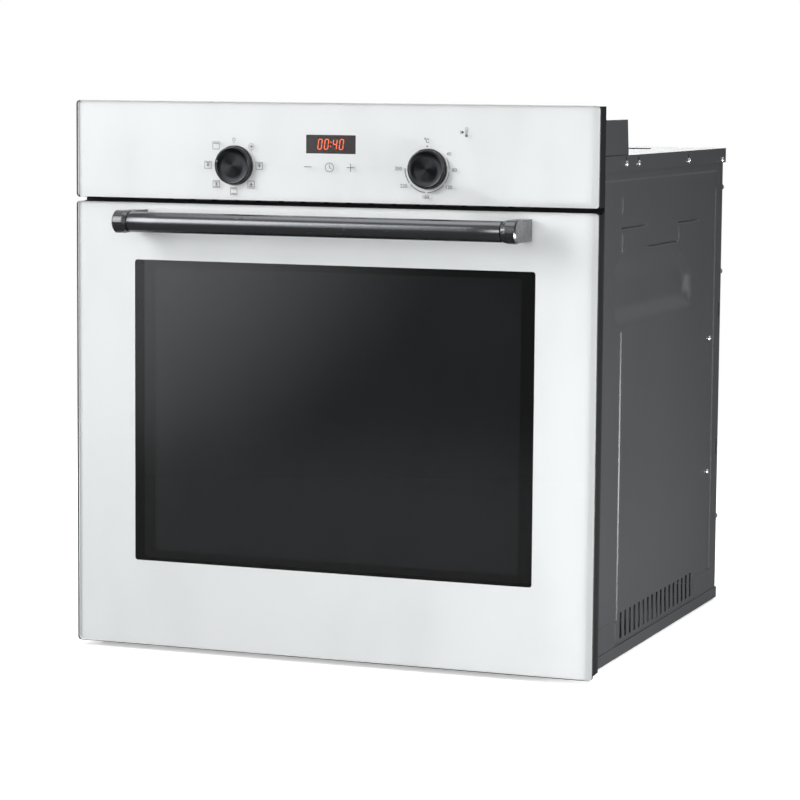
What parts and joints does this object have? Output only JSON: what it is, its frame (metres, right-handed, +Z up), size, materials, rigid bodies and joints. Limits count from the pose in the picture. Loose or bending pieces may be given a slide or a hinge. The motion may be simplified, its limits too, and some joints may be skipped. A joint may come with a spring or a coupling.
{
  "type": "built-in wall oven",
  "caption": "Built-in electric wall oven with a white glass drop-down door, bar handle, push-in rotary knobs, display and a convection cavity with shelf and tray.",
  "frame": {"origin": "on the base, centred on the width, in the plane of the cabinet front (the rear face of the front flange)", "axes": "+Z up, -Y out of the front towards the cook, +X to the cook's right"},
  "size_m": [0.595, 0.6277, 0.598],
  "materials": {
    "casing_paint": "satin",
    "galvanised": "satin",
    "cavity_enamel": "gloss",
    "mineral_wool": "matte",
    "seal_rubber": "matte",
    "clear_glass": "gloss",
    "white_print": "gloss",
    "black_plastic": "matte",
    "display_plastic": "gloss",
    "indicator_plastic": "gloss",
    "phenolic": "matte",
    "knob_black": "satin",
    "chrome_wire": "gloss",
    "element_sheath": "matte",
    "motor_steel": "satin",
    "lamp_ceramic": "matte",
    "lamp_glass": "gloss",
    "dark_glass": "gloss",
    "bar_metal": "brushed",
    "fan_aluminium": "satin",
    "spring_steel": "satin"
  },
  "bodies": {
    "oven_body": {"front_frame": "casing_paint", "side_panel_left": "casing_paint", "side_panel_right": "casing_paint", "top_cover": "casing_paint", "rear_cover": "galvanised", "base_tray": "casing_paint", "control_housing": "casing_paint", "oven_cavity": "cavity_enamel", "cavity_insulation": "mineral_wool", "door_gasket": "seal_rubber", "control_panel_glass": "clear_glass", "control_panel_print": "white_print", "control_panel_frame": "black_plastic", "display_module": "display_plastic", "indicator_lens": "indicator_plastic", "control_bracket": "galvanised", "function_selector": "phenolic", "thermostat": "motor_steel", "thermostat_sensor": "motor_steel", "rack_support_left": "chrome_wire", "rack_support_right": "chrome_wire", "fan_baffle": "cavity_enamel", "ring_element": "element_sheath", "grill_element": "element_sheath", "bottom_element": "element_sheath", "fan_motor": "motor_steel", "lamp_socket": "lamp_ceramic", "lamp_bulb": "lamp_glass", "lamp_lens": "lamp_glass", "cooling_fan_housing": "galvanised", "cooling_fan_motor": "motor_steel", "air_duct": "galvanised", "terminal_block": "phenolic", "terminal_cover": "black_plastic", "hinge_arms": "spring_steel", "hinge_receivers": "galvanised", "casing_screws": "chrome_wire"},
    "door": {"door_outer_glass": "clear_glass", "door_glass_print": "white_print", "door_columns": "black_plastic", "door_top_trim": "black_plastic", "door_bottom_trim": "black_plastic", "door_middle_glass": "dark_glass", "door_inner_glass": "dark_glass", "handle_bar": "bar_metal", "handle_brackets": "bar_metal", "handle_screws": "chrome_wire", "hinge_cases": "galvanised", "hinge_pins": "spring_steel", "hinge_springs": "spring_steel"},
    "function_shaft": {"function_shaft": "motor_steel"},
    "function_knob": {"function_knob": "knob_black"},
    "thermostat_shaft": {"thermostat_shaft": "motor_steel"},
    "temperature_knob": {"temperature_knob": "knob_black"},
    "convection_fan": {"convection_fan": "fan_aluminium"},
    "cooling_rotor": {"cooling_rotor": "fan_aluminium"},
    "wire_shelf": {"wire_shelf": "chrome_wire"},
    "baking_tray": {"baking_tray": "cavity_enamel"},
    "hinge_rods": {"hinge_rods": "spring_steel"}
  },
  "joints": [
    {"name": "door_hinge", "type": "hinge", "parent": "oven_body", "child": "door", "pos_m": [0, -0.0105, 0.0115], "axis": [1, 0, 0], "range_deg": [0, 90], "stiffness_Nm_per_rad": 11.2, "springref_deg": -17.19},
    {"name": "hinge_rod_slide", "type": "slide", "parent": "door", "child": "hinge_rods", "axis": [0, 0, -1], "range_m": [0, 0.018], "deforming": ["hinge_springs"]},
    {"name": "wire_shelf_slide", "type": "slide", "parent": "oven_body", "child": "wire_shelf", "axis": [0, -1, 0], "range_m": [0, 0.2]},
    {"name": "baking_tray_slide", "type": "slide", "parent": "oven_body", "child": "baking_tray", "axis": [0, -1, 0], "range_m": [0, 0.16]},
    {"name": "function_turn", "type": "hinge", "parent": "oven_body", "child": "function_shaft", "pos_m": [-0.11, 0, 0.5305], "axis": [0, 1, 0], "continuous": true},
    {"name": "function_knob_push", "type": "slide", "parent": "function_shaft", "child": "function_knob", "axis": [0, -1, 0], "range_m": [0, 0.014]},
    {"name": "temperature_turn", "type": "hinge", "parent": "oven_body", "child": "thermostat_shaft", "pos_m": [0.11, 0, 0.5305], "axis": [0, 1, 0], "range_deg": [0, 270]},
    {"name": "temperature_knob_push", "type": "slide", "parent": "thermostat_shaft", "child": "temperature_knob", "axis": [0, -1, 0], "range_m": [0, 0.014]},
    {"name": "convection_fan_spin", "type": "hinge", "parent": "oven_body", "child": "convection_fan", "pos_m": [0, 0.4, 0.269], "axis": [0, 1, 0], "continuous": true},
    {"name": "cooling_rotor_spin", "type": "hinge", "parent": "oven_body", "child": "cooling_rotor", "pos_m": [0, 0.3, 0.505], "axis": [1, 0, 0], "continuous": true}
  ],
  "couplings": [
    {"joint": "hinge_rod_slide", "follows": "door_hinge", "m_per_rad": 0.01145},
    {"joint": "wire_shelf_slide", "follows": "door_hinge", "m_per_rad": 0.1273},
    {"joint": "baking_tray_slide", "follows": "door_hinge", "m_per_rad": 0.1018}
  ]
}
